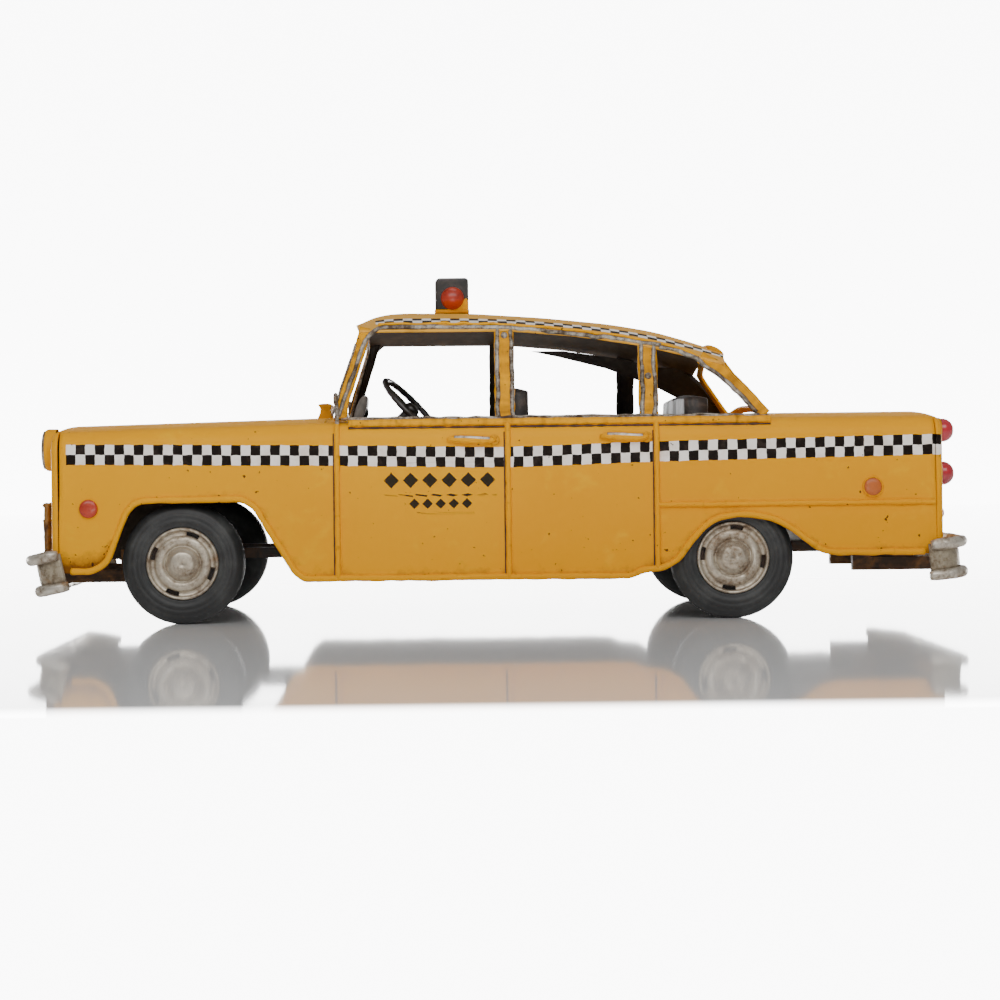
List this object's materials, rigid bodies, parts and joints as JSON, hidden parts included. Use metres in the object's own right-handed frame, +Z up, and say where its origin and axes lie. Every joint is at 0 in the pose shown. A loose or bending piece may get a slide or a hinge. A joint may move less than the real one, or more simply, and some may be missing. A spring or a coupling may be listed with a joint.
{
  "type": "tinplate toy taxi car",
  "caption": "Tinplate toy taxi sedan with a black and white squared stripe, open windows, bench seats, rolling wheels and a friction flywheel drive on the rear axle.",
  "frame": {"origin": "on the ground, under the middle of the car between the bumper tips", "axes": "+Z up, -X the car's front, -Y the driver's side"},
  "size_m": [0.4044, 0.1606, 0.1511],
  "materials": {
    "body_paint": "aged yellow enamel with rust-brown wear along the beading",
    "aged_silver": "worn silver paint with brown patina",
    "brown_paint": "dull dark brown paint",
    "black_paint": "satin black enamel",
    "grey_tin": "dull grey paint",
    "gilt_grille": "worn gilt over brown",
    "red_lens": "glossy red enamel dome",
    "amber_lens": "glossy orange enamel dome",
    "clear_lens": "clear headlight glass",
    "seat_leather": "dark wrinkled leather cloth",
    "tyre_rubber": "matt black rubber",
    "bright_steel": "plain drawn steel",
    "gear_brass": "cut brass"
  },
  "bodies": {
    "car_body": {"left_side_panel": "body_paint", "right_side_panel": "body_paint", "hood": "body_paint", "cowl_panel": "body_paint", "cowl_vent": "body_paint", "rear_deck": "body_paint", "front_panel": "body_paint", "rear_panel": "body_paint", "floor_pan": "brown_paint", "left_chassis_rail": "brown_paint", "right_chassis_rail": "brown_paint", "left_body_beading": "body_paint", "right_body_beading": "body_paint", "left_belt_moulding": "aged_silver", "right_belt_moulding": "aged_silver", "door_handles": "aged_silver", "roof": "body_paint", "a_pillars": "body_paint", "b_pillars": "body_paint", "c_pillars": "body_paint", "rear_pillars": "body_paint", "windscreen_frame": "aged_silver", "rear_window_frame": "aged_silver", "roof_sign": "black_paint", "roof_sign_lenses": "red_lens", "headlight_bezels": "aged_silver", "headlight_lenses": "clear_lens", "grille": "gilt_grille", "front_bumper": "aged_silver", "rear_bumper": "aged_silver", "bumper_brackets": "brown_paint", "tail_lamps": "red_lens", "rear_reflectors": "red_lens", "front_side_markers": "red_lens", "rear_side_markers": "amber_lens", "door_mirrors": "aged_silver", "dashboard": "brown_paint", "instrument_hood": "grey_tin", "steering_column": "black_paint", "steering_wheel": "black_paint", "front_seat_base": "seat_leather", "front_seat_back": "seat_leather", "rear_seat_base": "seat_leather", "rear_seat_back": "seat_leather", "front_axle_hangers": "brown_paint", "motor_plates": "bright_steel"},
    "front_wheelset": {"front_axle_shaft": "bright_steel", "front_left_tyre": "tyre_rubber", "front_right_tyre": "tyre_rubber", "front_left_wheel": "aged_silver", "front_right_wheel": "aged_silver"},
    "rear_wheelset": {"rear_axle_shaft": "bright_steel", "rear_left_tyre": "tyre_rubber", "rear_right_tyre": "tyre_rubber", "rear_left_wheel": "aged_silver", "rear_right_wheel": "aged_silver", "drive_gear": "gear_brass"},
    "lay_gears": {"layshaft": "gear_brass"},
    "flywheel_set": {"flywheel": "bright_steel", "flywheel_shaft": "bright_steel"}
  },
  "joints": [
    {"name": "front_axle_spin", "type": "hinge", "parent": "car_body", "child": "front_wheelset", "pos_m": [-0.1344, 0, 0.026], "axis": [0, 1, 0], "continuous": true},
    {"name": "rear_axle_spin", "type": "hinge", "parent": "car_body", "child": "rear_wheelset", "pos_m": [0.1004, 0, 0.026], "axis": [0, 1, 0], "continuous": true},
    {"name": "layshaft_spin", "type": "hinge", "parent": "car_body", "child": "lay_gears", "pos_m": [0.11761, 0, 0.03126], "axis": [0, 1, 0], "continuous": true},
    {"name": "flywheel_spin", "type": "hinge", "parent": "car_body", "child": "flywheel_set", "pos_m": [0.1318, 0, 0.04235], "axis": [0, 1, 0], "continuous": true}
  ],
  "couplings": [
    {"joint": "layshaft_spin", "follows": "rear_axle_spin", "ratio": -2},
    {"joint": "flywheel_spin", "follows": "rear_axle_spin", "ratio": 4}
  ]
}
